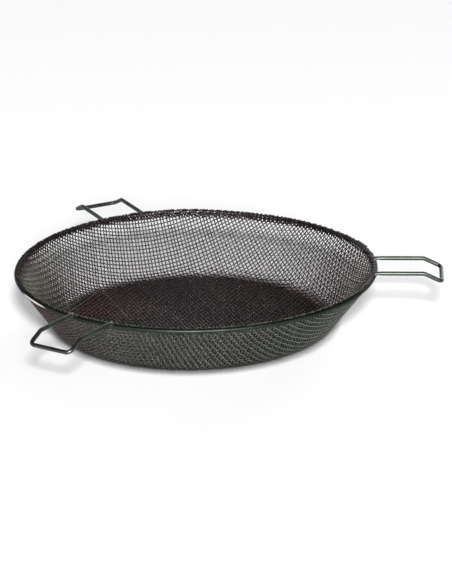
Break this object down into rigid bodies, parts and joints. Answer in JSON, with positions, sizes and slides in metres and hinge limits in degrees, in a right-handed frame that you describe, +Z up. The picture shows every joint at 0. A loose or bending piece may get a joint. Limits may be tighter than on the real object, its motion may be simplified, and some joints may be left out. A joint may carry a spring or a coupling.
{
  "type": "round wire sieve",
  "caption": "Shallow round sieve of woven dark steel wire with a flat floor, flared wall, round rim hoop and fixed bent-wire handles, for sifting and draining.",
  "frame": {"origin": "under the middle of the floor, on the plane that the sieve rests on", "axes": "+Z up out of the bowl, +X along the right handle"},
  "size_m": [0.4713, 0.4916, 0.0699],
  "materials": {
    "wire_cloth": "satin",
    "rim_wire": "satin",
    "handle_wire": "satin"
  },
  "bodies": {
    "root": {"weft_wires": "wire_cloth", "warp_wires": "wire_cloth", "rim_hoop": "rim_wire", "right_handle": "handle_wire", "rear_handle": "handle_wire", "front_handle": "handle_wire"}
  },
  "joints": []
}
